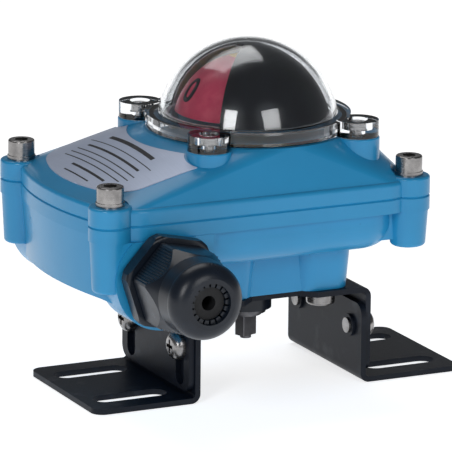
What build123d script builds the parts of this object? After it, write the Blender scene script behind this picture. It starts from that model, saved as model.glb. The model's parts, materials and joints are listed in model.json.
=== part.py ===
from build123d import *
import os
from math import asin, cos, degrees, radians, sin

# Valve limit switch box with dome indicator on an adjustable foot bracket.
# Frame in millimetres: X right along the long side, Y to the back, Z up.
# The origin is on the shaft axis, level with the undersides of the feet.

# ---- housing ----
LUG_LEFT, LUG_RIGHT, LUG_Y = -63.5, 40.0, 34.4    # cover screw centres
LUG_R = 6.8                                       # round lug at each cover screw
BODY_Y, CORNER_R = 40.4, 13.0                     # half width, plan corner of hood and body
END_X = {-1: -70.2, 1: 44.4}                      # crown of each bowed end wall
END_R = {-1: 105.0, 1: 205.0}                     # bow of each end wall
BASE_Z, SEAM_Z = 31.4, 63.2                       # underside of base, parting face
RIM_BOTTOM, RIM_TOP = 58.6, 68.6                  # flange of body, flange of cover
RIM_ROUND, SEAM_BREAK = 1.3, 0.4                  # top of the rim, edges that meet at the seam
LUG_BOTTOM, LUG_TOP = {-1: 42.2, 1: 46.6}, 69.5
BOWL_Z = 45.8                                     # underside of the shallow bowl
SEAT_Z, SEAT_R = 81.6, 33.4                       # round seat under the dome
WALL = 3.2

# ---- base pad that the bracket bolts to ----
PAD_X, PAD_Y = 23.4, 21.6
PAD_BOSS, PAD_BOSS_X, PAD_BOSS_Y = 17.6, 16.9, 14.8
PAD_DRAFT = 5.0
BOLT_X, BOLT_Y = 18.4, 16.6

# ---- dome and indicator ----
DOME_R, DOME_CENTRE_Z, DOME_WALL = 29.2, 81.0, 1.6
FLANGE_R, FLANGE_T = 32.8, 4.4
EAR_PCR, EAR_R, EAR_T = 36.6, 6.8, 5.2            # pitch radius, radius, height
MASK_R, MASK_T = 27.3, 1.0
ROTOR_R, ROTOR_T = 24.0, 1.6
QUADRANT = 90.0

# ---- cable entries ----
ENTRY_X, ENTRY_Z, ENTRY_R = -48.0, 46.2, 10.0     # M20 entry
ENTRY_FACE_Y, ENTRY_PAD_R = -41.2, 16.4
STEP_X = -31.0                                    # where the deep entry end stops

# ---- shaft and switching parts ----
SHAFT_R = 5.0
CAM_LOW, CAM_HIGH, CAM_SPREAD = 8.0, 9.6, 20.0    # radii over a quarter turn, overrun
CAM_T = 4.0
CAM_Z = {"closed": 57.0, "open": 64.0}
SWITCH_T, SWITCH_L, SWITCH_H = 6.4, 19.8, 10.2
SWITCH_FACE_X = -15.5
LEVER_GAP, TIP_R = 0.35, 1.6
PIVOT_X, PIVOT_Y = -13.2, 9.0
PLATE_Z, PLATE_T = 54.2, 1.5

# ---- bracket ----
SHEET = 1.8
BRACKET_X, BRACKET_Y = 32.0, 25.4                 # outside of the flanges, half width
FLANGE_BOTTOM = 3.2
FOOT_END, FOOT_Y, FOOT_CORNER = 64.4, 26.2, 4.0
FOOT_TOP = 25.6
SLOT_X, SLOT_Y, SLOT_L, SLOT_W = 47.8, 15.0, 25.0, 7.8
CLAMP_Y, CLAMP_Z = 18.4, 17.4                     # foot clamping screws
CLAMP_SLOT_W, CLAMP_SLOT_LOW, CLAMP_SLOT_HIGH = 6.0, 7.6, 19.4

LUGS = [(x, y) for x in (LUG_LEFT, LUG_RIGHT) for y in (-LUG_Y, LUG_Y)]
EARS = [(EAR_PCR * cos(radians(a)), EAR_PCR * sin(radians(a))) for a in (45, 135, 225, 315)]
PAD_BOSSES = [(x, y) for x in (-PAD_BOSS_X, PAD_BOSS_X) for y in (-PAD_BOSS_Y, PAD_BOSS_Y)]
PAD_BOLTS = [(x, y) for x in (-BOLT_X, BOLT_X) for y in (-BOLT_Y, BOLT_Y)]
BOTTOM = (Align.CENTER, Align.CENTER, Align.MIN)


# ---- small shapes ----
def rod(x, y, low, high, radius):
    """Cylinder standing on Z."""
    return Pos(x, y, low) * Cylinder(radius, high - low, align=BOTTOM)


def rod_y(x, z, front, back, radius):
    """Cylinder lying along Y, from front to back."""
    return Pos(x, front, z) * Rot(-90, 0, 0) * Cylinder(radius, back - front, align=BOTTOM)


def rod_x(y, z, left, right, radius):
    """Cylinder lying along X, from left to right."""
    return Pos(left, y, z) * Rot(0, 90, 0) * Cylinder(radius, right - left, align=BOTTOM)


def block(x0, x1, y0, y1, z0, z1):
    """Box between two corners."""
    return Pos((x0 + x1) / 2, (y0 + y1) / 2, z0) * Box(x1 - x0, y1 - y0, z1 - z0, align=BOTTOM)


def hexagon_y(x, z, front, back, across_flats, turn=0.0):
    """Hexagonal bar along Y."""
    radius = across_flats / (2 * cos(radians(30)))
    prism = extrude(RegularPolygon(radius, 6, rotation=turn), back - front)
    return Pos(x, front, z) * Rot(-90, 0, 0) * prism


def ring(low, high, outer, inner, x=0.0, y=0.0):
    """Tube standing on Z."""
    return rod(x, y, low, high, outer) - rod(x, y, low - 1, high + 1, inner)


def polar(radius, angle):
    return (radius * cos(radians(angle)), radius * sin(radians(angle)))


def group(shapes):
    """Several separate solids of one kind in one node."""
    return Compound(children=list(shapes))


# ---- outlines of the housing ----
def arc(centre, radius, start, stop):
    """Arc about a centre, between two angles."""
    points = []
    for angle in (start, (start + stop) / 2, stop):
        x, y = polar(radius, angle)
        points.append((centre[0] + x, centre[1] + y))
    return ThreePointArc(*points)


def end_bow(side):
    """Centre of an end wall's bow, of the corners beside it, and half the bow's angle."""
    reach = END_R[side] - CORNER_R
    half = degrees(asin((BODY_Y - CORNER_R) / reach))
    centre = END_X[side] - side * END_R[side]
    return centre, centre + side * reach * cos(radians(half)), half


def plan_wire(inset, z):
    """Body outline: straight long sides, bowed ends and round corners, all tangent."""
    left, left_corner, left_half = end_bow(-1)
    right, right_corner, right_half = end_bow(1)
    r, y, half = CORNER_R - inset, BODY_Y - CORNER_R, BODY_Y - inset
    edges = [
        Line((left_corner, -half), (right_corner, -half)),
        arc((right_corner, -y), r, -90, -right_half),
        arc((right, 0), END_R[1] - inset, -right_half, right_half),
        arc((right_corner, y), r, right_half, 90),
        Line((right_corner, half), (left_corner, half)),
        arc((left_corner, y), r, 90, 180 - left_half),
        arc((left, 0), END_R[-1] - inset, 180 - left_half, 180 + left_half),
        arc((left_corner, -y), r, 180 + left_half, 270),
    ]
    return Pos(0, 0, z) * make_face(edges)


def seat_wire(radius, z):
    """Circle cut where it runs parallel to the ends of the body outline's edges."""
    nib = 1.0
    left_half, right_half = end_bow(-1)[2], end_bow(1)[2]
    stops = [
        -90 - nib, -90 + nib, -right_half, right_half, 90 - nib, 90 + nib,
        180 - left_half, 180 + left_half, 270 - nib,
    ]
    arcs = [arc((0, 0), radius, a, b) for a, b in zip(stops, stops[1:])]
    return Pos(0, 0, z) * make_face(arcs)


def hood(inset, low, high, radius):
    """Roof that rises from the body outline to the round dome seat."""
    return loft([plan_wire(inset, low), seat_wire(radius, high)], ruled=True)


def roof(lift=0.0):
    """Outside of the hood, which the label lies on."""
    return Pos(0, 0, lift) * hood(RIM_ROUND, RIM_TOP, SEAT_Z, SEAT_R)


def lug_discs(low, high, radius=LUG_R):
    return [rod(x, y, low, high, radius) for x, y in LUGS]


def lowest(shape):
    """Edges of the underside."""
    return shape.faces().sort_by(Axis.Z)[0].edges()


def topmost(shape):
    """Edges of the top face."""
    return shape.faces().sort_by(Axis.Z)[-1].edges()


# ---- cover ----
def cover_skin():
    """Rim with a rounded top and a broken lower edge, and the hood above it."""
    rim = chamfer(lowest(extrude(plan_wire(0, SEAM_Z), RIM_TOP - SEAM_Z)), SEAM_BREAK)
    return fillet(topmost(rim), RIM_ROUND) + roof()


def cover_lug(x, y):
    lug = fillet(topmost(rod(x, y, SEAM_Z, LUG_TOP, LUG_R)), 0.9)
    return chamfer(lowest(lug), SEAM_BREAK)


def top_cover():
    cover = cover_skin() + [cover_lug(x, y) for x, y in LUGS]
    cover -= lug_discs(LUG_TOP, LUG_TOP + 12, LUG_R - 0.9)
    bosses = [fillet(topmost(rod(x, y, RIM_TOP, SEAT_Z, EAR_R + 0.3)), 0.6) for x, y in EARS]
    cover += bosses
    cover -= extrude(plan_wire(WALL + 4, SEAM_Z), RIM_TOP - 2 - SEAM_Z)
    cover -= hood(WALL + 4, RIM_TOP - 2, SEAT_Z - WALL, SEAT_R - 5)
    cover -= rod(0, 0, SEAM_Z, SEAT_Z + 1, SHAFT_R + 1.0)
    cover -= lug_discs(SEAM_Z - 1, LUG_TOP + 1, 2.75)
    cover -= [rod(x, y, SEAT_Z - 8, SEAT_Z + 1, 1.25) for x, y in EARS]
    return cover


def cover_gasket():
    """Round cord in a groove of the parting face."""
    outer = extrude(plan_wire(3.6, SEAM_Z - 1.8), 1.8)
    inner = extrude(plan_wire(5.6, SEAM_Z - 2.8), 3.8)
    return outer - inner


def cover_screw(x, y, seat):
    """M5 socket head screw down to the lug's thread."""
    head = fillet(rod(x, y, seat, seat + 5.0, 4.25).edges().sort_by(Axis.Z)[-1], 0.5)
    socket = Pos(x, y, seat + 2.5) * extrude(RegularPolygon(2.3, 6), 3.0)
    return head + rod(x, y, seat - 19, seat, 2.5) - socket


def cover_screws():
    return group(cover_screw(x, y, LUG_TOP + 1.2) for x, y in LUGS)


def cover_screw_washers():
    return group(ring(LUG_TOP, LUG_TOP + 1.2, 4.5, 2.6, x, y) for x, y in LUGS)


def label_outline():
    """Field between the dome seat and the bowed left end, with round corners."""
    outer = Pos(3.5, 0) * Circle(67.4)
    field = (outer & (Pos(-52, 0) * Rectangle(44, 61))) - Circle(38.6)
    field = fillet(field.vertices().sort_by(Axis.X)[:2], 11)
    return fillet(field.vertices().sort_by(Axis.X)[-4:], 1.5)


def data_label():
    """Thin plate that lies on the sloping roof."""
    prism = extrude(Pos(0, 0, RIM_TOP) * label_outline(), 14)
    prism -= [rod(x, y, RIM_TOP - 1, RIM_TOP + 15, EAR_R + 1.0) for x, y in EARS]
    return (prism & roof(0.3)) - roof()


# ---- lower housing ----
def bowl():
    """Shallow bowl under the flange, round at its right end and lower edges."""
    left, right, half = STEP_X - 3, 38.0, BODY_Y - 1.8
    body = block(left, right, -half, half, BOWL_Z, RIM_BOTTOM)
    body = fillet(body.edges().filter_by(Axis.Z).sort_by(Axis.X)[-2:], 14)
    return fillet(lowest(body), 9)


def entry_end():
    """Deep left end that carries the two cable entries."""
    walls = loft([plan_wire(0.3, RIM_BOTTOM), plan_wire(3.0, BASE_Z - 3)], ruled=True)
    side = make_face(
        Polyline(
            (-80, 0, 60), (-80, 0, 40.5), (-64, 0, 38.5), (-43, 0, BASE_Z),
            (STEP_X + 1, 0, BASE_Z), (STEP_X + 1, 0, 60), close=True,
        )
    )
    end = walls & extrude(side, 45, both=True)
    front = -ENTRY_FACE_Y - 0.6
    flank = make_face(
        Polyline(
            (0, 28, 41.5), (0, front - 3, 41.5), (0, front, 45.5),
            (0, front, RIM_BOTTOM), (0, 28, RIM_BOTTOM), close=True,
        )
    )
    flank = Pos(LUG_LEFT + 1, 0, 0) * extrude(flank, STEP_X - LUG_LEFT - 1, dir=(1, 0, 0))
    end += [flank, mirror(flank, Plane.XZ)]
    for y in (-1, 1):
        pad = rod_y(ENTRY_X, ENTRY_Z, *sorted((y * 28, y * -ENTRY_FACE_Y)), ENTRY_PAD_R)
        end += pad - block(-80, 0, -50, 50, RIM_BOTTOM, RIM_BOTTOM + 20)
    return end - block(-72, -68.3, 14.3, 15.7, 48.5, 55.0)


def base_pad():
    """Block under the bowl with a drafted, rounded boss at each bracket bolt."""
    pad = block(-PAD_X + 1, PAD_X - 1, -PAD_Y, PAD_Y, BASE_Z, BOWL_Z + 3)
    for x, y in PAD_BOSSES:
        outline = Pos(x, y, BASE_Z) * RectangleRounded(PAD_BOSS, PAD_BOSS, 5)
        pad += extrude(outline, BOWL_Z + 3 - BASE_Z, taper=-PAD_DRAFT)
    return pad


def lug_columns():
    """Drafted columns under the lugs, each with a web back to the wall."""
    columns = []
    for x, y in LUGS:
        side = 1 if x > 0 else -1
        low = LUG_BOTTOM[side]
        column = Pos(x, y, low) * Cone(LUG_R - 1.2, LUG_R - 0.2, SEAM_Z - 1 - low, align=BOTTOM)
        columns.append(fillet(lowest(column), 1.2))
        xs = sorted((x, x - side * 14))
        ys = sorted((y * 0.72, y * 1.03))
        columns.append(block(xs[0], xs[1], ys[0], ys[1], low + 2.4, RIM_BOTTOM))
    return columns


def body_flange():
    """Flange that the cover sits on, with its lugs and a broken upper edge."""
    flange = chamfer(topmost(extrude(plan_wire(0, RIM_BOTTOM), SEAM_Z - RIM_BOTTOM)), SEAM_BREAK)
    return flange + [chamfer(topmost(disc), SEAM_BREAK) for disc in lug_discs(RIM_BOTTOM, SEAM_Z)]


def housing_cavity():
    """Room inside: main chamber, deep end for the cables, pockets round the hub."""
    main = extrude(plan_wire(WALL + 4, BOWL_Z + WALL), SEAM_Z - BOWL_Z)
    main -= [rod(x, y, BOWL_Z, SEAM_Z + 1, LUG_R) for x, y in LUGS]
    main -= block(30, 60, -50, 50, BOWL_Z, 53)
    deep = block(-62.5, -32, -32.5, 32.5, 42, SEAM_Z)
    deep -= [rod(x, y, 40, SEAM_Z + 1, LUG_R) for x, y in LUGS]
    pocket = block(-19, 19, -17, 17, BASE_Z + 4, BOWL_Z + WALL + 1)
    pocket -= [rod(x, y, BASE_Z, BOWL_Z + 5, 6.5) for x, y in PAD_BOLTS]
    pocket -= rod(0, 0, BASE_Z, BOWL_Z + 5, 11)
    return main + deep + pocket


def lower_housing():
    body = body_flange() + bowl() + entry_end() + base_pad()
    body += lug_columns()
    body -= housing_cavity()
    body += [rod(x, y, 41, PLATE_Z, 3.5) for x in (-38,) for y in (-14, 14)]
    body -= [rod(x, y, 46, PLATE_Z + 1, 1.65) for x in (-38,) for y in (-14, 14)]
    body += rod(0, 0, BASE_Z, 51, 11)
    body -= rod(0, 0, BASE_Z - 1, 52, 7.0)
    body -= [rod(x, y, LUG_TOP - 19, SEAM_Z + 1, 2.5) for x, y in LUGS]
    body -= [rod(x, y, BASE_Z - 1, BASE_Z + 10, 2.5) for x, y in PAD_BOLTS]
    body -= rod_y(ENTRY_X, ENTRY_Z, -60, 60, ENTRY_R)
    body -= extrude(plan_wire(3.6, SEAM_Z - 1.8), 3) - extrude(plan_wire(5.6, SEAM_Z - 2.8), 5)
    body -= rod(-58, 0, 38, 46, 1.65)
    return body


# ---- dome and indicator ----
def dome_cap(radius, low):
    """Part of a ball above a height."""
    ball = Pos(0, 0, DOME_CENTRE_Z) * Sphere(radius)
    return ball & block(-60, 60, -60, 60, low, 150)


def indicator_dome():
    flange_top = SEAT_Z + 0.6 + FLANGE_T
    dome = rod(0, 0, SEAT_Z + 0.6, flange_top, FLANGE_R) + dome_cap(DOME_R, SEAT_Z + 0.6)
    for x, y in EARS:
        dome += rod(x, y, SEAT_Z, SEAT_Z + EAR_T, EAR_R)
        turn = Rot(0, 0, Vector(x, y).get_signed_angle(Vector(1, 0)) * -1)
        dome += turn * block(24, EAR_PCR, -EAR_R + 1.2, EAR_R - 1.2, SEAT_Z + 0.6, flange_top)
    dome -= rod(0, 0, SEAT_Z - 1, SEAT_Z + 0.6, FLANGE_R - 1.0)
    dome -= dome_cap(DOME_R - DOME_WALL, SEAT_Z - 1)
    for x, y in EARS:
        dome -= rod(x, y, SEAT_Z - 1, SEAT_Z + 10, 1.65)
        dome -= rod(x, y, SEAT_Z + 2.2, SEAT_Z + 10, 3.2)
    return dome


def dome_gasket():
    return ring(SEAT_Z, SEAT_Z + 0.6, FLANGE_R - 1.4, FLANGE_R - 2.8)


def dome_screws():
    def screw(x, y):
        seat = SEAT_Z + 2.2
        head = rod(x, y, seat, seat + 2.2, 2.75) - (Pos(x, y, seat + 1) * Box(3.4, 0.8, 3, align=BOTTOM))
        return head + rod(x, y, seat - 8, seat, 1.25)
    return group(screw(x, y) for x, y in EARS)


def sector(angle, width, reach=60):
    """Wedge of space about the shaft axis, centred on an angle."""
    half = width / 2
    tip = (0, 0)
    face = make_face(Polyline(tip, polar(reach, angle - half), polar(reach, angle), polar(reach, angle + half), close=True))
    return extrude(Pos(0, 0, 60) * face, 80)


def indicator_mask():
    """Black shell inside the dome with two open quarters."""
    low = SEAT_Z + 4.6
    shell = dome_cap(MASK_R, low) - dome_cap(MASK_R - MASK_T, low - 1)
    windows = [sector(a, QUADRANT) - rod(0, 0, 0, 200, 4.0) for a in (0, 180)]
    collar = ring(low - 1.2, low + 0.2, MASK_R - 0.6, MASK_R - 2.2)
    legs = [ring(SEAT_Z, low - 1, MASK_R - 0.6, MASK_R - 2.2) & sector(a, 12) for a in (45, 135, 225, 315)]
    return (shell - windows) + collar + legs


def rotor_shell():
    return dome_cap(ROTOR_R, SEAT_Z + 5.4) - dome_cap(ROTOR_R - ROTOR_T, SEAT_Z + 4)


def rotor_red():
    """Two opposite quarters of the rotor dome."""
    shell = rotor_shell() - rod(0, 0, 0, 200, 6)
    return group(shell & sector(a, QUADRANT) for a in (0, 180))


def rotor_yellow():
    """Hub, spokes and the other two quarters of the rotor dome."""
    core = rod(0, 0, 60, 140, 6)
    shell = rotor_shell() & (sector(90, QUADRANT) + core + sector(270, QUADRANT))
    low = SEAT_Z + 5.4
    disc = rod(0, 0, low, low + 1.8, ROTOR_R - 1.4)
    spokes = disc & (sector(90, 60) + core + sector(270, 60))
    hub = rod(0, 0, SEAT_Z + 2, DOME_CENTRE_Z + ROTOR_R - 0.8, 5.2)
    return shell + hub + spokes - rod(0, 0, 70, 99, 3.0)


# ---- shaft and its bearings ----
def shaft():
    body = rod(0, 0, 19.8, 78.5, SHAFT_R) + rod(0, 0, 78, 99, 3.0)
    tongue = extrude(Pos(0, 0, 12.8) * Rot(0, 0, 20) * RectangleRounded(6.0, 4.0, 0.4), 7.4)
    pilot = rod(0, 0, 11.8, 13.0, 1.8)
    groove = ring(20.6, 21.8, SHAFT_R + 1, SHAFT_R - 0.6)
    seal_groove = ring(38.0, 40.0, SHAFT_R + 1, SHAFT_R - 0.8)
    flat = block(SHAFT_R - 0.8, 8, -8, 8, 53, 78.5)
    return body + tongue + pilot - groove - seal_groove - flat


def shaft_circlip():
    clip = ring(20.7, 21.7, 6.4, SHAFT_R - 0.55)
    return clip - block(3, 9, -1.6, 1.6, 20, 23)


def lower_bush():
    bush = rod(0, 0, 24.6, 37.5, 6.95) + rod(0, 0, 22.2, BASE_Z - SHEET - 0.2, 8.2)
    return bush - rod(0, 0, 20, 40, SHAFT_R + 0.05)


def upper_bush():
    bush = rod(0, 0, 41, 52.2, 6.95) + rod(0, 0, 51.0, 52.2, 9.0)
    return bush - rod(0, 0, 40, 60, SHAFT_R + 0.05)


def shaft_seal():
    return ring(38.2, 39.8, 6.95, SHAFT_R - 0.75)


# ---- cams ----
def cam_radius(kind, angle):
    """Lobe radius at an angle of the cam; it grows or falls evenly over a quarter turn."""
    share = (180 - angle) / 90
    return CAM_LOW + (CAM_HIGH - CAM_LOW) * (share if kind == "closed" else 1 - share)


def cam(kind):
    start, stop, steps = 90 - CAM_SPREAD, 180 + CAM_SPREAD, 8
    angles = [start + (stop - start) * i / steps for i in range(steps + 1)]
    ramp = [polar(cam_radius(kind, a), a) for a in angles]
    back = (cam_radius(kind, start) + cam_radius(kind, stop)) / 2
    around = [ramp[-1], polar(back, 255), polar(back, 315), polar(back, 15), ramp[0]]
    face = make_face([Spline(*ramp), Spline(*around)])
    z = CAM_Z[kind]
    lobe = extrude(Pos(0, 0, z) * face, CAM_T)
    hub = rod(0, 0, z - 1.2, z + CAM_T + 1.2, 7.2)
    bore = rod(0, 0, z - 3, z + CAM_T + 3, SHAFT_R) - block(SHAFT_R - 0.8, 9, -9, 9, 50, 80)
    return lobe + hub - bore


def cam_closed():
    return cam("closed")


def cam_open():
    return cam("open")


def cam_spring():
    """Wave spring that presses the cams against their top collar."""
    return ring(52.4, 55.6, 7.0, SHAFT_R + 0.4)


def cam_collar():
    z = CAM_Z["open"] + CAM_T + 1.3
    return ring(z, z + 3.0, 7.6, SHAFT_R) + (block(SHAFT_R - 0.8, 6, -3, 3, z, z + 3.0))


# ---- switches ----
def switch_body(kind):
    middle = CAM_Z[kind] + CAM_T / 2
    back = SWITCH_FACE_X - SWITCH_H
    body = block(back, SWITCH_FACE_X, -SWITCH_L / 2, SWITCH_L / 2, middle - SWITCH_T / 2, middle + SWITCH_T / 2)
    for low in (middle - 2.4, middle + 1.6):
        body += block(SWITCH_FACE_X, PIVOT_X + 1.3, PIVOT_Y - 1.3, SWITCH_L / 2, low, low + 0.8)
    body += [
        block(back - 3.2, back + 1, y - 1.4, y + 1.4, middle - 0.3, middle + 0.3) for y in (-7.5, 0, 7.5)
    ]
    body -= [rod(SWITCH_FACE_X - 7.2, y, 50, 80, 1.15) for y in (-4.75, 4.75)]
    body -= rod(PIVOT_X, PIVOT_Y, 50, 80, 0.55)
    return body


def microswitch_closed():
    return switch_body("closed")


def microswitch_open():
    return switch_body("open")


def lever(kind):
    """Spring-steel lever whose rounded tip rides on the cam."""
    middle = CAM_Z[kind] + CAM_T / 2
    tip_x = -(cam_radius(kind, 180) + LEVER_GAP + TIP_R)
    arm = make_face(
        Polyline(
            (PIVOT_X - 0.35, PIVOT_Y), (PIVOT_X + 0.35, PIVOT_Y),
            (tip_x + 0.2, 0.8), (tip_x - 0.6, 0.8), close=True,
        )
    )
    arm += Pos(PIVOT_X, PIVOT_Y) * Circle(1.2)
    arm += Pos(tip_x, 0) * Circle(TIP_R)
    pin = rod(PIVOT_X, PIVOT_Y, middle - 2.4, middle + 2.4, 0.5)
    return extrude(Pos(0, 0, middle - 1.4) * arm, 2.8) + pin


def lever_closed():
    return lever("closed")


def lever_open():
    return lever("open")


def switch_plate():
    """Sheet that carries the switches and the terminals."""
    plate = block(-60, -12.6, -17, 17, PLATE_Z, PLATE_Z + PLATE_T)
    plate -= rod(0, 0, PLATE_Z - 1, PLATE_Z + 3, 13.2)
    plate -= [rod(-38, y, PLATE_Z - 1, PLATE_Z + 3, 2.1) for y in (-14, 14)]
    plate -= [rod(SWITCH_FACE_X - 7.2, y, 50, 60, 1.15) for y in (-4.75, 4.75)]
    return plate


def plate_screws():
    def screw(y):
        seat = PLATE_Z + PLATE_T
        head = rod(-38, y, seat, seat + 2.4, 3.4) - (Pos(-38, y, seat + 1.2) * Box(4.4, 0.9, 3, align=BOTTOM))
        return head + rod(-38, y, seat - 9, seat, 1.6)
    return group(screw(y) for y in (-14, 14))


def switch_screws():
    def screw(y):
        x, seat = SWITCH_FACE_X - 7.2, CAM_Z["open"] + CAM_T / 2 + SWITCH_T / 2
        return rod(x, y, seat, seat + 1.6, 2.0) + rod(x, y, PLATE_Z - 1, seat, 1.1)
    return group(screw(y) for y in (-4.75, 4.75))


def switch_spacer():
    """Insulating sheet between the two switches and under the lower one."""
    holes = [rod(SWITCH_FACE_X - 7.2, y, 50, 80, 1.15) for y in (-4.75, 4.75)]
    low = CAM_Z["closed"] + CAM_T / 2 + SWITCH_T / 2
    high = CAM_Z["open"] + CAM_T / 2 - SWITCH_T / 2
    sheet = block(SWITCH_FACE_X - SWITCH_H, SWITCH_FACE_X, -SWITCH_L / 2, SWITCH_L / 2, low, high)
    return sheet - holes


# ---- terminals ----
TERMINAL_PITCH, TERMINAL_COUNT = 4.1, 8
TERMINAL_Y = [TERMINAL_PITCH * (i - (TERMINAL_COUNT - 1) / 2) for i in range(TERMINAL_COUNT)]
TERMINAL_Z = PLATE_Z + PLATE_T


def terminal_block():
    body = block(-58, -45, -16.8, 16.8, TERMINAL_Z, TERMINAL_Z + 8.5)
    for y in TERMINAL_Y:
        body -= rod(-51.5, y, TERMINAL_Z + 6, TERMINAL_Z + 9, 1.45)
        body -= rod_x(y, TERMINAL_Z + 3, -59, -44, 1.1)
    return body


def terminal_screws():
    def screw(y):
        head = rod(-51.5, y, TERMINAL_Z + 6, TERMINAL_Z + 7.6, 1.4)
        return head - (Pos(-51.5, y, TERMINAL_Z + 7) * Box(2.4, 0.5, 2, align=BOTTOM))
    return group(screw(y) for y in TERMINAL_Y)


def earth_screw():
    head = rod(-58, 0, 42, 44.4, 3.4) - (Pos(-58, 0, 43.2) * Box(0.9, 4.4, 3, align=BOTTOM))
    return head + rod(-58, 0, 39, 42, 1.6)


# ---- cable gland and blanking plug ----
def rounded_bar(front, back, radius, edge):
    """Round bar on the entry's axis with rounded ends, which takes the corners off a hexagon."""
    return fillet(rod_y(ENTRY_X, ENTRY_Z, front, back, radius).edges().filter_by(GeomType.CIRCLE), edge)


def gland_body():
    face = ENTRY_FACE_Y
    stub = rod_y(ENTRY_X, ENTRY_Z, face, face + 9, ENTRY_R - 0.05)
    hexagon = hexagon_y(ENTRY_X, ENTRY_Z, face - 6.6, face - 1.4, 28.4, 12)
    hexagon &= rounded_bar(face - 6.6, face - 1.4, 15.9, 1.2)
    neck = rod_y(ENTRY_X, ENTRY_Z, face - 15, face, 10.6)
    bore = rod_y(ENTRY_X, ENTRY_Z, face - 20, face + 10, 7.0)
    return stub + hexagon + neck - bore


def gland_washer():
    face = ENTRY_FACE_Y
    return rod_y(ENTRY_X, ENTRY_Z, face - 1.4, face, 13.2) - rod_y(ENTRY_X, ENTRY_Z, face - 3, face + 2, 10.65)


def gland_cap_nut():
    """Cap nut: six flats at the back that run out into a smooth round nose."""
    back, length = ENTRY_FACE_Y - 7.2, 26.4
    front = back - length
    profile = make_face(
        [
            Line((0, 0), (14.2, 0)),
            Line((14.2, 0), (14.2, 8.5)),
            Line((14.2, 8.5), (12.3, 14.5)),
            Line((12.3, 14.5), (12.1, 20.4)),
            ThreePointArc((12.1, 20.4), (10.9, 24.6), (8.0, length)),
            Line((8.0, length), (0, length)),
            Line((0, length), (0, 0)),
        ]
    )
    turned = revolve(Rot(90, 0, 0) * profile, Axis.Z, 360)
    turned = Pos(ENTRY_X, back, ENTRY_Z) * Rot(90, 0, 0) * turned
    nut = turned & hexagon_y(ENTRY_X, ENTRY_Z, front - 1, back + 1, 25.0, 12)
    nut -= rod_y(ENTRY_X, ENTRY_Z, front + 5.0, back + 1, 10.65)
    return nut - rod_y(ENTRY_X, ENTRY_Z, front - 1, back, 6.5)


def gland_claw():
    """Ring of clamping fingers round the seal."""
    front = ENTRY_FACE_Y - 32.4
    claw = rod_y(ENTRY_X, ENTRY_Z, front, front + 16.0, 6.45)
    claw -= rod_y(ENTRY_X, ENTRY_Z, front - 1, front + 20, 5.2)
    slot = rod_y(ENTRY_X, ENTRY_Z, front - 1, front + 4, 7) & block(
        ENTRY_X - 0.3, ENTRY_X + 0.3, front - 2, front + 5, ENTRY_Z + 4, ENTRY_Z + 8
    )
    axis = Axis((ENTRY_X, 0, ENTRY_Z), (0, 1, 0))
    return claw - [slot.rotate(axis, 20 * i) for i in range(18)]


def gland_seal():
    front = ENTRY_FACE_Y - 31.4
    seal = rod_y(ENTRY_X, ENTRY_Z, front, front + 16, 5.15)
    return seal - rod_y(ENTRY_X, ENTRY_Z, front - 1, front + 17, 2.3)


def blanking_plug():
    face = -ENTRY_FACE_Y
    head = hexagon_y(ENTRY_X, ENTRY_Z, face + 1.0, face + 7.0, 24.0, 30)
    stub = rod_y(ENTRY_X, ENTRY_Z, face - 9, face + 1, ENTRY_R - 0.05)
    recess = rod_y(ENTRY_X, ENTRY_Z, face - 10, face - 1, 7.5)
    return head + stub - recess


def plug_washer():
    face = -ENTRY_FACE_Y
    return rod_y(ENTRY_X, ENTRY_Z, face, face + 1.0, 12.5) - rod_y(ENTRY_X, ENTRY_Z, face - 1, face + 2, 10.05)


# ---- bracket ----
def u_bracket():
    """Folded sheet: waisted top plate and two slotted flanges."""
    top, r = BASE_Z, 3.2
    x = BRACKET_X
    outer = block(-x, x, -BRACKET_Y, BRACKET_Y, FLANGE_BOTTOM, top)
    inner = block(-x + SHEET, x - SHEET, -BRACKET_Y - 1, BRACKET_Y + 1, FLANGE_BOTTOM - 1, top - SHEET)
    outer = fillet(outer.edges().filter_by(Axis.Y).sort_by(Axis.Z)[-2:], r)
    inner = fillet(inner.edges().filter_by(Axis.Y).sort_by(Axis.Z)[-2:], r - SHEET)
    bracket = outer - inner
    corners = bracket.edges().filter_by(Axis.X).filter_by(lambda e: abs(e.length - SHEET) < 0.01)
    bracket = fillet(corners.sort_by(Axis.Z)[:4], 4.0)
    waist = [(-13, 0), (-8, 4.6), (8, 4.6), (13, 0)]
    for side in (-1, 1):
        points = [(px, side * (BRACKET_Y + 0.01 - depth)) for px, depth in waist]
        bracket -= extrude(Pos(0, 0, top - 5) * make_face(Polyline(*points, close=True)), 10)
    for y in (-CLAMP_Y, CLAMP_Y):
        for x_side in (-x, x - SHEET):
            low, high = CLAMP_SLOT_LOW, CLAMP_SLOT_HIGH
            slot = block(x_side - 1, x_side + SHEET + 1, y - CLAMP_SLOT_W / 2, y + CLAMP_SLOT_W / 2, low, high)
            ends = [rod_x(y, z, x_side - 1, x_side + SHEET + 1, CLAMP_SLOT_W / 2) for z in (low, high)]
            bracket -= [slot] + ends
    bracket -= rod(0, 0, 20, 40, 8.4)
    bracket -= [rod(px, py, 20, 40, 2.75) for px, py in PAD_BOLTS]
    return bracket


def bracket_bolts():
    def bolt(x, y):
        seat = BASE_Z - SHEET - 1.0
        head = rod(x, y, seat - 3.4, seat, 4.6)
        head = fillet(head.edges().sort_by(Axis.Z)[0], 1.0)
        socket = Pos(x, y, seat - 4) * extrude(RegularPolygon(2.0, 6), 2.6)
        return head + rod(x, y, seat, seat + 11, 2.45) - socket
    return group(bolt(x, y) for x, y in PAD_BOLTS)


def bracket_washers():
    low = BASE_Z - SHEET - 1.0
    return group(ring(low, low + 1.0, 5.5, 2.6, x, y) for x, y in PAD_BOLTS)


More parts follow.
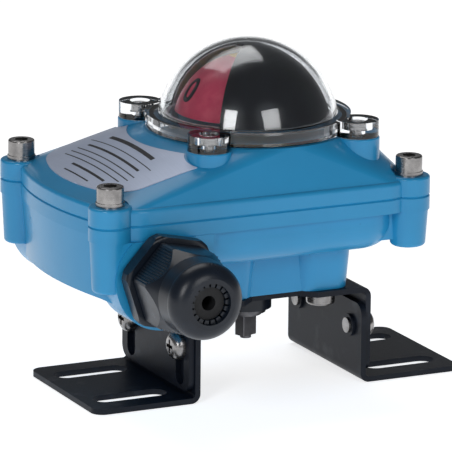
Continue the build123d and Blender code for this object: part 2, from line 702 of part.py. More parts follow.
def foot(side):
    """Folded angle: slotted foot outwards, tapped upright inside the bracket flange."""
    face = BRACKET_X - SHEET - 0.05
    r = 3.0
    angle = block(face - SHEET, FOOT_END, -FOOT_Y, FOOT_Y, 0, FOOT_TOP)
    angle = fillet(angle.edges().filter_by(Axis.Y).group_by(Axis.Z)[0].sort_by(Axis.X)[0], r)
    cut = block(face, FOOT_END + 1, -FOOT_Y - 1, FOOT_Y + 1, SHEET, FOOT_TOP + 1)
    cut = fillet(cut.edges().filter_by(Axis.Y).group_by(Axis.Z)[0].sort_by(Axis.X)[0], r - SHEET)
    angle -= cut
    short = angle.edges().filter_by(lambda e: abs(e.length - SHEET) < 0.01)
    toe = short.filter_by(Axis.Z).sort_by(Axis.X)[-2:]
    head = short.filter_by(Axis.X).sort_by(Axis.Z)[-2:]
    angle = fillet(toe + head, FOOT_CORNER)
    for y in (-SLOT_Y, SLOT_Y):
        outline = Pos(SLOT_X, y, -1) * SlotOverall(SLOT_L, SLOT_W)
        angle -= extrude(outline, SHEET + 2)
    for y in (-CLAMP_Y, CLAMP_Y):
        angle += rod_x(y, CLAMP_Z, face - SHEET - 1.0, face - SHEET, 3.6)
        angle -= rod_x(y, CLAMP_Z, face - 5, face + 1, 2.5)
    return angle if side > 0 else Rot(0, 0, 180) * angle


def left_foot():
    return foot(-1)


def right_foot():
    return foot(1)


def clamp_screws(side):
    def screw(y):
        seat = BRACKET_X + 0.05
        head = rod_x(y, CLAMP_Z, seat, seat + 3.6, 4.6)
        head = fillet(head.edges().sort_by(Axis.X)[-1], 2.6)
        cross = Pos(seat + 2.8, y, CLAMP_Z) * (Box(3, 4.4, 1.1) + Box(3, 1.1, 4.4))
        shank = rod_x(y, CLAMP_Z, seat - 5.4, seat, 2.45)
        one = head + shank - cross
        return one if side > 0 else Rot(0, 0, 180) * one
    return group(screw(y) for y in (-CLAMP_Y, CLAMP_Y))


def left_foot_screws():
    return clamp_screws(-1)


def right_foot_screws():
    return clamp_screws(1)


PARTS = [
    lower_housing, top_cover, cover_gasket, cover_screws, cover_screw_washers, data_label,
    indicator_dome, dome_gasket, dome_screws, indicator_mask, rotor_red, rotor_yellow,
    shaft, shaft_circlip, lower_bush, upper_bush, shaft_seal,
    cam_closed, cam_open, cam_spring, cam_collar,
    switch_plate, plate_screws, microswitch_closed, microswitch_open, switch_spacer, switch_screws,
    lever_closed, lever_open, terminal_block, terminal_screws, earth_screw,
    gland_body, gland_washer, gland_cap_nut, gland_claw, gland_seal, blanking_plug, plug_washer,
    u_bracket, bracket_bolts, bracket_washers, left_foot, right_foot, left_foot_screws, right_foot_screws,
]

os.makedirs("parts", exist_ok=True)
for make in PARTS:
    export_step(make(), f"parts/{make.__name__}.step")
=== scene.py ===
"""Looks of a valve limit switch box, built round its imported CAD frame.

Sizes are metres in the frame's own axes: X right along the long side, Y to the back, Z up,
with the shaft on the Z axis. The box has a blue enamelled casting, a clear dome over a
two-colour position rotor, a nylon cable gland and a folded sheet bracket with two feet.
"""

from __future__ import annotations

import json
import logging
import math
from dataclasses import dataclass
from enum import Enum
from typing import Any, Callable, ClassVar, Iterable

import bpy
from mathutils import Matrix, Vector

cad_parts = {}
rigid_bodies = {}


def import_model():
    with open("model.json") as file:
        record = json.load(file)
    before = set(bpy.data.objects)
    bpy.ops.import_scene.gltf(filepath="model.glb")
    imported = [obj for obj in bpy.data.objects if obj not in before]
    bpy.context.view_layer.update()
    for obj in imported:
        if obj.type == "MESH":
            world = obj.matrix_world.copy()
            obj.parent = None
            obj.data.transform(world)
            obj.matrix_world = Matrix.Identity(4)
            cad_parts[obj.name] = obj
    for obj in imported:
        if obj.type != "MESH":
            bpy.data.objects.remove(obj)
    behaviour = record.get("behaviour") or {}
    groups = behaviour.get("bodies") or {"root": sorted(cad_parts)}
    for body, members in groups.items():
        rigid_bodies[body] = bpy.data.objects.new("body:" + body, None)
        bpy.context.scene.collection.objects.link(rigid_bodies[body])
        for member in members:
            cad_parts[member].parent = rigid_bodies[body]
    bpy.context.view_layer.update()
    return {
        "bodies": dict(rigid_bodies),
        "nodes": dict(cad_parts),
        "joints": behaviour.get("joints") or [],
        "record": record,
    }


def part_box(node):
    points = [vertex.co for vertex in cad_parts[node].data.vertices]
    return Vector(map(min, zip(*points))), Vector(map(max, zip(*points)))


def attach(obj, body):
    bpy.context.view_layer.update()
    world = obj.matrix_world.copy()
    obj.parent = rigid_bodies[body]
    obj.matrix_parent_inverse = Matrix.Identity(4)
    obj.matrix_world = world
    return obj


LOG = logging.getLogger("switch_box")
MM = 0.001
# Height of the centre that the dome, the mask and the rotor share.
DOME_CENTRE = 81.0 * MM

Triple = tuple[float, float, float]
Colour = Triple


# ---------------------------------------------------------------- shader arithmetic
class Signal:
    """A node output that takes part in shader arithmetic."""

    def __init__(self, graph: Graph, socket: bpy.types.NodeSocket) -> None:
        """Keeps the graph and the output it stands for."""
        self.graph = graph
        self.socket = socket

    def _math(self, operation: str, left: Any, right: Any) -> Signal:
        """Adds one Math node."""
        return self.graph.node("ShaderNodeMath", {"operation": operation}, {0: left, 1: right})

    def __add__(self, other: Any) -> Signal:
        """Sum of two signals, or of a signal and a number."""
        return self._math("ADD", self, other)

    __radd__ = __add__

    def __mul__(self, other: Any) -> Signal:
        """Product of two signals, or of a signal and a number."""
        return self._math("MULTIPLY", self, other)

    __rmul__ = __mul__

    def __sub__(self, other: Any) -> Signal:
        """Difference with the signal first."""
        return self._math("SUBTRACT", self, other)

    def __rsub__(self, other: Any) -> Signal:
        """Difference with the number first."""
        return self._math("SUBTRACT", other, self)


class Graph:
    """The node tree of one material."""

    def __init__(self, name: str) -> None:
        """Makes an empty material with a Principled shader on its output.

        Args:
            name: name of the material.
        """
        self.material = bpy.data.materials.new(name)
        self.material.use_nodes = True
        self.tree = self.material.node_tree
        self.tree.nodes.clear()
        output = self.tree.nodes.new("ShaderNodeOutputMaterial")
        self.shader = self.tree.nodes.new("ShaderNodeBsdfPrincipled")
        self.tree.links.new(self.shader.outputs[0], output.inputs["Surface"])

    def node(
        self,
        kind: str,
        settings: dict[str, Any],
        inputs: dict[int | str, Any],
        output: int | str = 0,
    ) -> Signal:
        """Adds any node.

        Args:
            kind: Blender's type name of the node.
            settings: properties of the node, set before its sockets.
            inputs: a number, a vector or a Signal for each named or numbered socket.
            output: the output that the result stands for.

        Returns:
            The chosen output.
        """
        made = self.tree.nodes.new(kind)
        for name, value in settings.items():
            setattr(made, name, value)
        for key, value in inputs.items():
            if isinstance(value, Signal):
                self.tree.links.new(value.socket, made.inputs[key])
            else:
                made.inputs[key].default_value = value
        return Signal(self, made.outputs[output])

    def place(self) -> Signal:
        """Object coordinates, in metres."""
        return self.node("ShaderNodeTexCoord", {}, {}, "Object")

    def vector(self, operation: str, place: Signal, other: Triple, output: int = 0) -> Signal:
        """Adds one Vector Math node."""
        return self.node("ShaderNodeVectorMath", {"operation": operation}, {0: place, 1: other}, output)

    def stretched(self, place: Signal, scales: Triple) -> Signal:
        """Coordinates multiplied on each axis, for grain that runs one way."""
        return self.vector("MULTIPLY", place, scales)

    def distance(self, place: Signal, centre: Triple) -> Signal:
        """Distance from a point, in metres."""
        return self.vector("DISTANCE", place, centre, 1)

    def noise(self, place: Signal, scale: float, detail: float) -> Signal:
        """Soft random pattern from 0 to 1.

        Args:
            place: coordinates that the pattern lies in.
            scale: patches per metre.
            detail: number of finer layers.

        Returns:
            The pattern's strength.
        """
        sockets = {"Vector": place, "Scale": scale, "Detail": detail}
        return self.node("ShaderNodeTexNoise", {}, sockets)

    def spots(self, place: Signal, scale: float) -> Signal:
        """Distance to the nearest of many scattered points."""
        return self.node("ShaderNodeTexVoronoi", {}, {"Vector": place, "Scale": scale})

    def between(self, value: Signal, low: float, high: float) -> Signal:
        """0 below low, 1 above high and a straight ramp between them."""
        ramp = {0: value, 1: low, 2: high, 3: 0.0, 4: 1.0}
        return self.node("ShaderNodeMapRange", {"clamp": True}, ramp)

    def mixed(self, share: Signal, first: Colour | Signal, second: Colour | Signal) -> Signal:
        """Colour between two others.

        Args:
            share: 0 for the first colour and 1 for the second.
            first: colour at 0.
            second: colour at 1.

        Returns:
            The mixed colour.
        """
        ends = {
            key: colour if isinstance(colour, Signal) else (*colour, 1.0)
            for key, colour in ((6, first), (7, second))
        }
        return self.node("ShaderNodeMix", {"data_type": "RGBA"}, {0: share, **ends}, 2)

    def bump(self, height: Signal, depth: float, strength: float) -> Signal:
        """Small relief.

        Args:
            height: relief from 0 to 1.
            depth: depth of the relief in metres.
            strength: how much of it shows.

        Returns:
            The bent normal.
        """
        sockets = {"Height": height, "Distance": depth, "Strength": strength}
        return self.node("ShaderNodeBump", {}, sockets)

    def finished(self, sockets: dict[str, Any]) -> bpy.types.Material:
        """Sets the shader's sockets and gives the material.

        Args:
            sockets: a constant or a Signal for each named socket of the shader.

        Returns:
            The finished material.
        """
        for name, value in sockets.items():
            if isinstance(value, Signal):
                self.tree.links.new(value.socket, self.shader.inputs[name])
            else:
                self.shader.inputs[name].default_value = value
        return self.material


# ---------------------------------------------------------------- finishes
@dataclass(frozen=True)
class Enamel:
    """Stoved gloss enamel on a die casting: slight orange peel and a few dust nibs.

    Attributes:
        name: name of the material.
        light: thin coat.
        deep: thick coat.
        nib: dust nib.
        drift_scale: patches per metre of the coat's thickness.
        peel_scale: waves per metre of the orange peel.
        grain_scale: specks per metre of the finest grain.
        nib_scale: cells per metre, with one nib to a cell.
        nib_reach: distances from a nib's middle where it starts to fade and is gone, in cells.
        nib_share: how strongly a nib shows.
        roughness: of the smoothest spots.
        coat: clear coat of the thinnest spots.
        coat_roughness: roughness of the clear coat.
        peel_depth: height of the orange peel.
    """

    name: str = "blue_enamel_on_casting"
    light: Colour = (0.016, 0.250, 0.500)
    deep: Colour = (0.013, 0.224, 0.455)
    nib: Colour = (0.004, 0.075, 0.160)
    drift_scale: float = 38.0
    peel_scale: float = 620.0
    grain_scale: float = 2400.0
    nib_scale: float = 95.0
    nib_reach: tuple[float, float] = (0.016, 0.030)
    nib_share: float = 0.6
    roughness: float = 0.27
    coat: float = 0.16
    coat_roughness: float = 0.09
    peel_depth: float = 0.018 * MM

    def material(self) -> bpy.types.Material:
        """Builds the material.

        Returns:
            The blue enamel.
        """
        graph = Graph(self.name)
        place = graph.place()
        drift = graph.noise(place, self.drift_scale, 3.0)
        peel = graph.noise(place, self.peel_scale, 2.0)
        grain = graph.noise(place, self.grain_scale, 2.0)
        nibs = 1.0 - graph.between(graph.spots(place, self.nib_scale), *self.nib_reach)
        coat = graph.mixed(graph.between(drift, 0.30, 0.70), self.light, self.deep)
        return graph.finished(
            {
                "Base Color": graph.mixed(nibs * self.nib_share, coat, self.nib),
                "Roughness": self.roughness + 0.10 * drift + 0.06 * grain,
                "Coat Weight": self.coat + 0.12 * drift,
                "Coat Roughness": self.coat_roughness,
                "IOR": 1.50,
                "Specular IOR Level": 0.34,
                "Normal": graph.bump(peel + 0.3 * grain, self.peel_depth, 0.6),
            }
        )


@dataclass(frozen=True)
class PowderCoat:
    """Satin black powder coat on sheet steel, with the fine texture such coats have.

    Attributes:
        name: name of the material.
        body: the coat itself.
        rubbed: spots that handling has rubbed.
        texture_scale: grains per metre.
        handling_scale: rubbed patches per metre.
        roughness: of the smoothest spots.
        gloss: strength of the reflection.
        depth: height of the texture.
    """

    name: str = "black_powder_coat"
    body: Colour = (0.0040, 0.0065, 0.0125)
    rubbed: Colour = (0.012, 0.016, 0.025)
    texture_scale: float = 2600.0
    handling_scale: float = 110.0
    roughness: float = 0.40
    gloss: float = 0.20
    depth: float = 0.03 * MM

    def material(self) -> bpy.types.Material:
        """Builds the material.

        Returns:
            The black powder coat.
        """
        graph = Graph(self.name)
        place = graph.place()
        texture = graph.noise(place, self.texture_scale, 3.0)
        handling = graph.noise(place, self.handling_scale, 4.0)
        rubs = graph.between(handling, 0.58, 0.72)
        return graph.finished(
            {
                "Base Color": graph.mixed(rubs, self.body, self.rubbed),
                "Roughness": self.roughness + 0.12 * texture - 0.08 * rubs,
                "Specular IOR Level": self.gloss,
                "Normal": graph.bump(texture, self.depth, 0.5),
            }
        )


@dataclass(frozen=True)
class TurnedSteel:
    """Bright metal with the fine rings that turning or forming leaves.

    Attributes:
        name: name of the material.
        bright: clean metal.
        dull: stained metal.
        roughness: of the smoothest spots.
        grain: marks per metre on each axis; far more on Z makes rings.
        stain_scale: stains per metre.
        depth: depth of the rings.
    """

    name: str
    bright: Colour
    dull: Colour
    roughness: float
    grain: Triple = (60.0, 60.0, 5200.0)
    stain_scale: float = 260.0
    depth: float = 0.008 * MM

    def material(self) -> bpy.types.Material:
        """Builds the material.

        Returns:
            The metal.
        """
        graph = Graph(self.name)
        place = graph.place()
        rings = graph.noise(graph.stretched(place, self.grain), 1.0, 3.0)
        stains = graph.noise(place, self.stain_scale, 3.0)
        stained = graph.between(stains, 0.35, 0.75)
        return graph.finished(
            {
                "Base Color": graph.mixed(stained, self.bright, self.dull),
                "Metallic": 1.0,
                "Roughness": self.roughness + 0.14 * rings + 0.08 * stains,
                "Normal": graph.bump(rings, self.depth, 0.5),
            }
        )


@dataclass(frozen=True)
class ClearPlastic:
    """Clear moulded polycarbonate with faint handling marks.

    Attributes:
        name: name of the material.
        tint: colour of the light that goes through.
        smear_scale: handling marks per metre.
        flow: flow waves per metre on each axis.
        roughness: of clean spots.
        depth: height of the flow waves.
    """

    name: str = "clear_polycarbonate"
    tint: Colour = (0.95, 0.97, 0.99)
    smear_scale: float = 90.0
    flow: Triple = (70.0, 70.0, 260.0)
    roughness: float = 0.015
    depth: float = 0.12 * MM

    def material(self) -> bpy.types.Material:
        """Builds the material.

        Returns:
            The clear plastic.
        """
        graph = Graph(self.name)
        place = graph.place()
        smear = graph.noise(place, self.smear_scale, 4.0)
        waves = graph.noise(graph.stretched(place, self.flow), 1.0, 2.0)
        return graph.finished(
            {
                "Base Color": (*self.tint, 1.0),
                "Transmission Weight": 1.0,
                "IOR": 1.49,
                "Roughness": self.roughness + 0.05 * graph.between(smear, 0.45, 0.75),
                "Normal": graph.bump(waves, self.depth, 0.25),
            }
        )


@dataclass(frozen=True)
class Moulding:
    """Moulded plastic or rubber with a spark-eroded grain.

    Attributes:
        name: name of the material.
        body: fresh moulding.
        worn: spots that handling has worn.
        roughness: of the smoothest spots.
        grain: grains per metre.
        depth: height of the grain.
        coat: clear skin of fresh spots.
        gloss: strength of the reflection.
        wear_scale: worn patches per metre.
    """

    name: str
    body: Colour
    worn: Colour
    roughness: float
    grain: float = 1900.0
    depth: float = 0.03 * MM
    coat: float = 0.0
    gloss: float = 0.36
    wear_scale: float = 150.0

    def material(self) -> bpy.types.Material:
        """Builds the material.

        Returns:
            The moulded plastic or rubber.
        """
        graph = Graph(self.name)
        place = graph.place()
        grain = graph.noise(place, self.grain, 3.0)
        wear = graph.between(graph.noise(place, self.wear_scale, 4.0), 0.48, 0.74)
        return graph.finished(
            {
                "Base Color": graph.mixed(wear, self.body, self.worn),
                "Roughness": self.roughness + 0.10 * grain - 0.05 * wear,
                "Specular IOR Level": self.gloss,
                "Coat Weight": self.coat * (1.0 - 0.3 * wear),
                "Normal": graph.bump(grain, self.depth, 0.5),
            }
        )


@dataclass(frozen=True)
class MaskShell:
    """Gloss black moulding whose inner face carries painted light: a near-white colour standing in for
    the bright background seen through the thick dome wall.

    Attributes:
        name: name of the material.
        black: fresh outer face.
        worn: spots of it that handling has worn.
        painted_refracted_light: inner face, a near-white painted light standing in for the bright
            background seen through the dome wall.
        centre: centre of the shell.
        inside: radius below which a spot lies on the inner face.
        edge: how far the change of colour reaches.
        grain_scale: grains per metre.
        handling_scale: worn patches per metre.
        depth: height of the grain.
    """

    name: str = "black_mask"
    black: Colour = (0.0040, 0.0060, 0.0105)
    worn: Colour = (0.0075, 0.0100, 0.0155)
    painted_refracted_light: Colour = (0.80, 0.82, 0.86)
    centre: Triple = (0.0, 0.0, DOME_CENTRE)
    inside: float = 26.5 * MM
    edge: float = 0.2 * MM
    grain_scale: float = 900.0
    handling_scale: float = 120.0
    depth: float = 0.01 * MM

    def material(self) -> bpy.types.Material:
        """Builds the material.

        Returns:
            The mask's black plastic, with painted light on its inner face.
        """
        graph = Graph(self.name)
        place = graph.place()
        grain = graph.noise(place, self.grain_scale, 3.0)
        handled = graph.between(graph.noise(place, self.handling_scale, 3.0), 0.45, 0.70)
        away = graph.distance(place, self.centre)
        outer = graph.between(away, self.inside, self.inside + self.edge)
        black = graph.mixed(handled, self.black, self.worn)
        return graph.finished(
            {
                # The inner face gets a near-white painted light, for the bright background seen through
                # the dome.
                "Base Color": graph.mixed(outer, self.painted_refracted_light, black),
                "Roughness": 0.26 + 0.10 * grain,
                "Coat Weight": 0.25 * outer,
                "Normal": graph.bump(grain, self.depth, 0.5),
            }
        )


@dataclass(frozen=True)
class LabelFoil:
    """Satin aluminium foil label, brushed along its length.

    Attributes:
        name: name of the material.
        light: brightest tone of the foil.
        dark: darkest tone.
        brush: brush marks per metre on each axis.
        cloud_scale: cloudy patches per metre.
        depth: depth of the brush marks.
    """

    name: str = "brushed_label_foil"
    light: Colour = (0.450, 0.510, 0.645)
    dark: Colour = (0.368, 0.420, 0.545)
    brush: Triple = (5200.0, 90.0, 90.0)
    cloud_scale: float = 70.0
    depth: float = 0.006 * MM

    def material(self) -> bpy.types.Material:
        """Builds the material.

        Returns:
            The foil.
        """
        graph = Graph(self.name)
        place = graph.place()
        brushing = graph.noise(graph.stretched(place, self.brush), 1.0, 2.0)
        cloud = graph.noise(place, self.cloud_scale, 3.0)
        tone = graph.between(0.55 * brushing + 0.45 * cloud, 0.3, 0.7)
        return graph.finished(
            {
                "Base Color": graph.mixed(tone, self.dark, self.light),
                "Metallic": 0.35,
                "Roughness": 0.42 + 0.12 * brushing,
                "Normal": graph.bump(brushing, self.depth, 0.4),
            }
        )


@dataclass(frozen=True)
class StudioPaper:
    """Matt white paper of the studio floor, lit through from below.

    Attributes:
        name: name of the material.
        glow: strength of the light from below.
        light: brightest tone of the paper.
        dark: darkest tone.
        fibre_scale: patches per metre.
    """

    name: str = "studio_paper"
    glow: float = 0.78
    light: Colour = (0.93, 0.93, 0.93)
    dark: Colour = (0.90, 0.90, 0.905)
    fibre_scale: float = 3.0

    def material(self) -> bpy.types.Material:
        """Builds the material.

        Returns:
            The glowing paper.
        """
        graph = Graph(self.name)
        fibre = graph.noise(graph.place(), self.fibre_scale, 4.0)
        paper = graph.mixed(fibre, self.light, self.dark)
        return graph.finished(
            {
                "Base Color": paper,
                "Emission Color": paper,
                "Emission Strength": self.glow,
                "Roughness": 0.9,
            }
        )


class Finish(Enum):
    """Every finish of the box.

    A finish's name differs from every material that the frame brings along, because the
    material is looked up by its name.
    """

    ENAMEL = Enamel()
    POWDER_COAT = PowderCoat()
    STAINLESS = TurnedSteel(
        "stainless_turned",
        bright=(0.33, 0.32, 0.315),
        dull=(0.17, 0.165, 0.165),
        roughness=0.17,
    )
    SHAFT_STEEL = TurnedSteel(
        "shaft_steel",
        bright=(0.17, 0.17, 0.18),
        dull=(0.10, 0.10, 0.11),
        roughness=0.36,
    )
    SPRING_STEEL = TurnedSteel(
        "spring_steel_strip",
        bright=(0.50, 0.50, 0.52),
        dull=(0.36, 0.36, 0.38),
        roughness=0.26,
        grain=(900.0, 900.0, 900.0),
    )
    ZINC = TurnedSteel(
        "zinc_plate",
        bright=(0.60, 0.62, 0.66),
        dull=(0.46, 0.47, 0.50),
        roughness=0.30,
    )
    CLEAR = ClearPlastic()
    NYLON = Moulding(
        "nylon_moulding",
        body=(0.0045, 0.0080, 0.0150),
        worn=(0.0075, 0.0120, 0.0210),
        roughness=0.27,
        grain=2100.0,
        depth=0.003 * MM,
    )
    MASK = MaskShell()
    RUBBER = Moulding(
        "rubber_moulding",
        body=(0.0065, 0.0070, 0.0085),
        worn=(0.016, 0.017, 0.019),
        roughness=0.62,
        grain=1500.0,
        depth=0.05 * MM,
    )
    RED = Moulding(
        "red_moulding",
        body=(0.66, 0.065, 0.130),
        worn=(0.80, 0.130, 0.200),
        roughness=0.34,
        grain=700.0,
        depth=0.02 * MM,
        coat=0.2,
    )
    YELLOW = Moulding(
        "yellow_moulding",
        body=(0.80, 0.47, 0.02),
        worn=(0.88, 0.58, 0.06),
        roughness=0.34,
        grain=700.0,
        depth=0.02 * MM,
        coat=0.4,
    )
    INK = Moulding(
        "printing_ink",
        body=(0.012, 0.013, 0.018),
        worn=(0.030, 0.031, 0.036),
        roughness=0.50,
        grain=3000.0,
        depth=0.01 * MM,
    )
    SWITCH = Moulding(
        "switch_case_moulding",
        body=(0.020, 0.021, 0.024),
        worn=(0.045, 0.045, 0.048),
        roughness=0.45,
    )
    TERMINAL = Moulding(
        "terminal_moulding",
        body=(0.020, 0.190, 0.075),
        worn=(0.040, 0.260, 0.110),
        roughness=0.40,
    )
    FOIL = LabelFoil()

    def material(self) -> bpy.types.Material:
        """The material of this finish, made once."""
        return bpy.data.materials.get(self.value.name) or self.value.material()


# ---------------------------------------------------------------- workshop
class Body(Enum):
    """Bodies of the frame that pieces ride on."""

    HOUSING = "housing"
    SHAFT = "turning_shaft"


class Bench:
    """The modelling operators, used as at the bench: one clean selection at a time."""

    @staticmethod
    def clear() -> None:
        """Leaves edit mode and deselects everything."""
        if bpy.context.object and bpy.context.object.mode != "OBJECT":
            bpy.ops.object.mode_set(mode="OBJECT")
        bpy.ops.object.select_all(action="DESELECT")

    @staticmethod
    def take(*pieces: bpy.types.Object) -> None:
        """Selects only these pieces and makes the first active.

        Args:
            pieces: the objects.
        """
        Bench.clear()
        for piece in pieces:
            piece.select_set(True)
        bpy.context.view_layer.objects.active = pieces[0]

    @staticmethod
    def edit(piece: bpy.types.Object, mode: str, chosen: Callable[[Any], bool]) -> None:
        """Opens a piece in edit mode with some of its elements selected.

        Args:
            piece: the mesh object.
            mode: VERT, EDGE or FACE.
            chosen: says for each vertex, edge or polygon whether it is selected.
        """
        Bench.take(piece)
        bpy.ops.object.mode_set(mode="EDIT")
        bpy.ops.mesh.select_mode(type=mode)
        bpy.ops.mesh.select_all(action="DESELECT")
        bpy.ops.object.mode_set(mode="OBJECT")
        mesh = piece.data
        elements = {"VERT": mesh.vertices, "EDGE": mesh.edges, "FACE": mesh.polygons}[mode]
        for element in elements:
            element.select = chosen(element)
        bpy.ops.object.mode_set(mode="EDIT")

    @staticmethod
    def settle(piece: bpy.types.Object) -> bpy.types.Object:
        """Puts a piece's place into its mesh and leaves its object at the origin.

        Args:
            piece: the object.

        Returns:
            The same object.
        """
        Bench.take(piece)
        bpy.ops.object.transform_apply(location=True, rotation=True, scale=True)
        return piece

    @staticmethod
    def modify(piece: bpy.types.Object, kind: str, **settings: Any) -> None:
        """Adds one modifier and applies it.

        Args:
            piece: the mesh object.
            kind: Blender's type name of the modifier.
            settings: properties of the modifier.
        """
        Bench.take(piece)
        modifier = piece.modifiers.new(kind.lower(), kind)
        for name, value in settings.items():
            setattr(modifier, name, value)
        bpy.ops.object.modifier_apply(modifier=modifier.name)

    @staticmethod
    def copy(piece: bpy.types.Object, matrix: Matrix) -> bpy.types.Object:
        """A copy with its own mesh, moved by a matrix.

        Args:
            piece: the mesh object.
            matrix: where the copy's mesh goes.

        Returns:
            The copy, linked to the scene.
        """
        twin = piece.copy()
        twin.data = piece.data.copy()
        twin.data.transform(matrix)
        bpy.context.scene.collection.objects.link(twin)
        return twin

    @staticmethod
    def joined(pieces: list[bpy.types.Object], name: str) -> bpy.types.Object:
        """Joins pieces into one.

        Args:
            pieces: the mesh objects.
            name: name of the joined piece.

        Returns:
            The joined piece.
        """
        Bench.take(*pieces)
        if len(pieces) > 1:
            bpy.ops.object.join()
        whole = bpy.context.object
        whole.name = name
        return whole

    @staticmethod
    def outward(piece: bpy.types.Object) -> None:
        """Turns every face outwards.

        Args:
            piece: the mesh object.
        """
        Bench.edit(piece, "FACE", lambda face: True)
        bpy.ops.mesh.normals_make_consistent(inside=False)
        bpy.ops.object.mode_set(mode="OBJECT")

    @staticmethod
    def smooth(piece: bpy.types.Object, degrees: float = 32.0) -> None:
        """Shades smooth across edges flatter than an angle."""
        Bench.take(piece)
        bpy.ops.object.shade_smooth_by_angle(angle=math.radians(degrees))

    @staticmethod
    def dress(piece: bpy.types.Object, finish: Finish, body: Body, slot: str) -> bpy.types.Object:
        """Gives a new piece its finish and the body it rides on.

        Args:
            piece: the mesh object.
            finish: its finish.
            body: the body that carries it.
            slot: not used.

        Returns:
            The same piece.
        """
        piece.data.materials.clear()
        piece.data.materials.append(finish.material())
        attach(piece, body.value)
        return piece


@dataclass
class Assembly:
    """A sub-assembly of the box: its CAD nodes with their finishes, and its added pieces."""

    frame: dict[str, Any]

    finishes: ClassVar[dict[str, Finish]] = {}

    def dress_nodes(self) -> None:
        """Puts the listed finishes on the sub-assembly's CAD nodes."""
        for node, finish in self.finishes.items():
            for slot in self.frame["nodes"][node].material_slots:
                slot.material = finish.material()
            LOG.info("dressed %s as %s", node, finish.value.name)

    def pieces(self) -> Iterable[bpy.types.Object]:
        """Builds the added pieces; a sub-assembly without any keeps this."""
        return []

    def build(self) -> None:
        """Dresses the nodes and builds the pieces."""
        self.dress_nodes()
        for piece in self.pieces():
            LOG.info("made %s with %d faces", piece.name, len(piece.data.polygons))


# ---------------------------------------------------------------- sub-assemblies
@dataclass
class Enclosure(Assembly):
    """Body, cover, gasket and the four cover screws."""

    finishes = {
        "lower_housing": Finish.ENAMEL,
        "top_cover": Finish.ENAMEL,
        "cover_gasket": Finish.RUBBER,
        "cover_screws": Finish.STAINLESS,
        "cover_screw_washers": Finish.STAINLESS,
        "earth_screw": Finish.STAINLESS,
    }


@dataclass(frozen=True)
class Rule:
    """One printed line of the label, parallel to Y.

    Attributes:
        away: distance from the shaft towards the cable end.
        front: how far it reaches to the front.
        rear: how far it reaches to the back.
        weight: width of the line.
    """

    away: float
    front: float
    rear: float
    weight: float


@dataclass
class Label(Assembly):
    """Foil label with plain ruled lines and no wording.

    Attributes:
        ink: thickness of the print.
        divisions: steps along a line, which let it follow the foil.
        rules: the lines, from the shaft outwards.
    """

    ink: float = 0.05 * MM
    divisions: int = 48
    rules: tuple[Rule, ...] = (
        Rule(41.0 * MM, 17.0 * MM, 15.0 * MM, 1.5 * MM),
        Rule(44.6 * MM, 23.0 * MM, 22.0 * MM, 0.35 * MM),
        Rule(47.4 * MM, 20.0 * MM, 18.0 * MM, 0.9 * MM),
        Rule(50.2 * MM, 23.0 * MM, 20.0 * MM, 0.4 * MM),
        Rule(52.4 * MM, 23.0 * MM, 20.0 * MM, 0.4 * MM),
        Rule(54.6 * MM, 21.0 * MM, 20.0 * MM, 0.4 * MM),
        Rule(57.4 * MM, 16.0 * MM, 8.0 * MM, 0.9 * MM),
        Rule(60.6 * MM, 11.0 * MM, 7.0 * MM, 0.5 * MM),
    )

    finishes = {"data_label": Finish.FOIL}

    def line(self, rule: Rule, height: float) -> bpy.types.Object:
        """One line laid down on the foil.

        Args:
            rule: place, reach and width of the line.
            height: height above the foil that it is laid down from.

        Returns:
            The thin solid line.
        """
        Bench.clear()
        length = rule.front + rule.rear
        middle = (rule.rear - rule.front) / 2
        bpy.ops.mesh.primitive_grid_add(
            x_subdivisions=2,
            y_subdivisions=self.divisions,
            size=1.0,
            location=(-rule.away, middle, height),
        )
        strip = bpy.context.object
        strip.scale = (rule.weight, length, 1.0)
        Bench.settle(strip)
        Bench.modify(
            strip,
            "SHRINKWRAP",
            target=self.frame["nodes"]["data_label"],
            wrap_method="PROJECT",
            use_project_z=True,
            use_negative_direction=True,
            use_positive_direction=False,
        )
        Bench.modify(strip, "SOLIDIFY", thickness=self.ink, offset=0.0)
        Bench.outward(strip)
        return strip

    def pieces(self) -> Iterable[bpy.types.Object]:
        """The ruled print.

        Returns:
            The lines, joined into one piece.
        """
        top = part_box("data_label")[1][2]
        lines = [self.line(rule, top + MM) for rule in self.rules]
        printed = Bench.joined(lines, "label_print")
        yield Bench.dress(printed, Finish.INK, Body.HOUSING, "mask_black")


